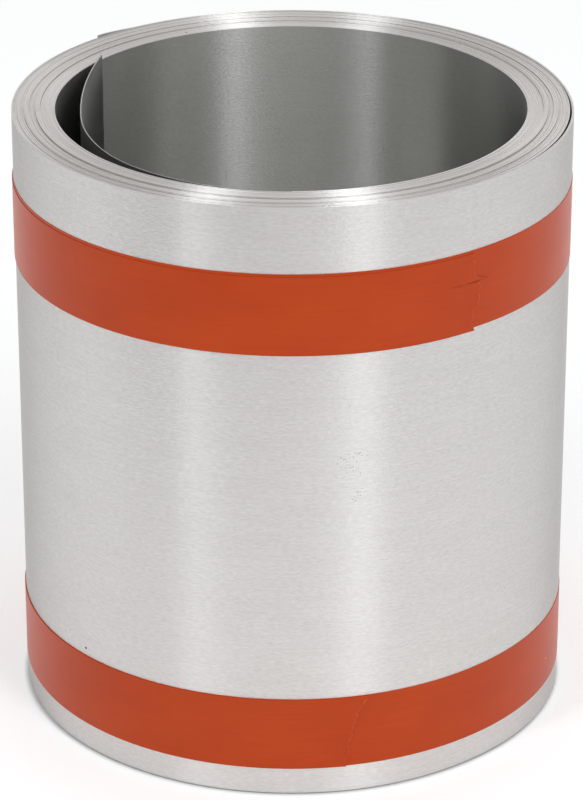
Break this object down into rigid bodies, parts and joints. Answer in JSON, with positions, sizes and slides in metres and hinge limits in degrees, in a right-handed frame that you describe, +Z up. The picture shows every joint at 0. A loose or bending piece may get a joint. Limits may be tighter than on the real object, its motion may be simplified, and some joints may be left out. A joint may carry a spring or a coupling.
{
  "type": "aluminium valley flashing roll",
  "caption": "Roll of thin bare aluminium flashing standing on its end, with an open bore, a loose inner tail and bands of orange-red tape.",
  "frame": {"origin": "centre of the roll on the surface it stands on", "axes": "+Z up along the roll's axis, +Y towards the back, +X to the right seen from the front"},
  "size_m": [0.1355, 0.1355, 0.1544],
  "materials": {
    "aluminium": "satin mill finish",
    "tape": "semi-gloss film"
  },
  "bodies": {
    "root": {"aluminum_coil": "aluminium", "upper_tape_band": "tape", "lower_tape_band": "tape"}
  },
  "joints": []
}
